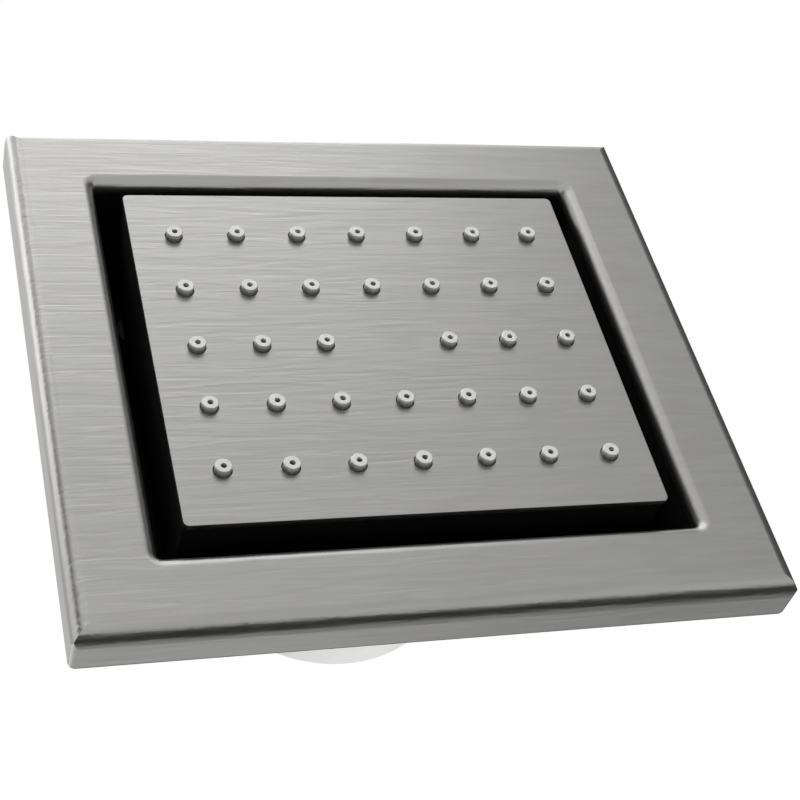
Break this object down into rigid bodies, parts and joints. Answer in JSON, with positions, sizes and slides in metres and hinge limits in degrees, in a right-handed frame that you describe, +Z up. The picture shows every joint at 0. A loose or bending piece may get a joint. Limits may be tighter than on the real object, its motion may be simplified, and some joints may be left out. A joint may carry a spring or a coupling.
{
  "type": "shower body jet",
  "caption": "Flush wall-mounted shower jet: brushed rectangular frame round a black recess, with a flat spray head of soft tips that tilts and pans on a ball joint.",
  "frame": {"origin": "centre of the wall plane, where the gasket meets the finished wall, on the water axis", "axes": "+X right and +Z up seen from the room, +Y into the wall along the water axis; the face looks along -Y"},
  "size_m": [0.1194, 0.0635, 0.108],
  "materials": {
    "brushed_nickel": "brushed along X, satin lacquer",
    "black_plastic": "satin moulded black",
    "white_plastic": "satin moulded white",
    "grey_silicone": "matt pale grey silicone",
    "brass": "turned, unplated",
    "chrome_ball": "plated and polished brass",
    "zinc_steel": "zinc plated",
    "seal_rubber": "matt black",
    "foam_rubber": "closed-cell foam",
    "grey_acetal": "satin grey acetal",
    "white_acetal": "satin natural acetal"
  },
  "bodies": {
    "housing": {"escutcheon_frame": "brushed_nickel", "frame_screws": "zinc_steel", "wall_gasket": "foam_rubber", "recess_tray": "black_plastic", "tray_screws": "zinc_steel", "rough_in_housing": "white_plastic", "inlet_body": "brass", "flange_seal": "seal_rubber", "lock_washer": "zinc_steel", "lock_nut": "brass", "retaining_nut": "grey_acetal", "ball_seal": "seal_rubber", "inlet_screen": "zinc_steel"},
    "liner": {"ball_liner": "white_acetal"},
    "head": {"spray_plate": "brushed_nickel", "nozzle_mat": "grey_silicone", "head_shell": "black_plastic", "chamber_cover": "black_plastic", "cover_seal": "seal_rubber", "cover_screws": "zinc_steel", "swivel_ball": "chrome_ball", "stem_seal": "seal_rubber", "flow_regulator": "white_acetal"}
  },
  "joints": [
    {"name": "head_tilt", "type": "hinge", "parent": "housing", "child": "liner", "pos_m": [0, 0.0156, 0], "axis": [1, 0, 0], "range_deg": [-7, 7]},
    {"name": "head_pan", "type": "hinge", "parent": "liner", "child": "head", "pos_m": [0, 0.0156, 0], "axis": [0, 0, 1], "range_deg": [-7, 7]}
  ]
}
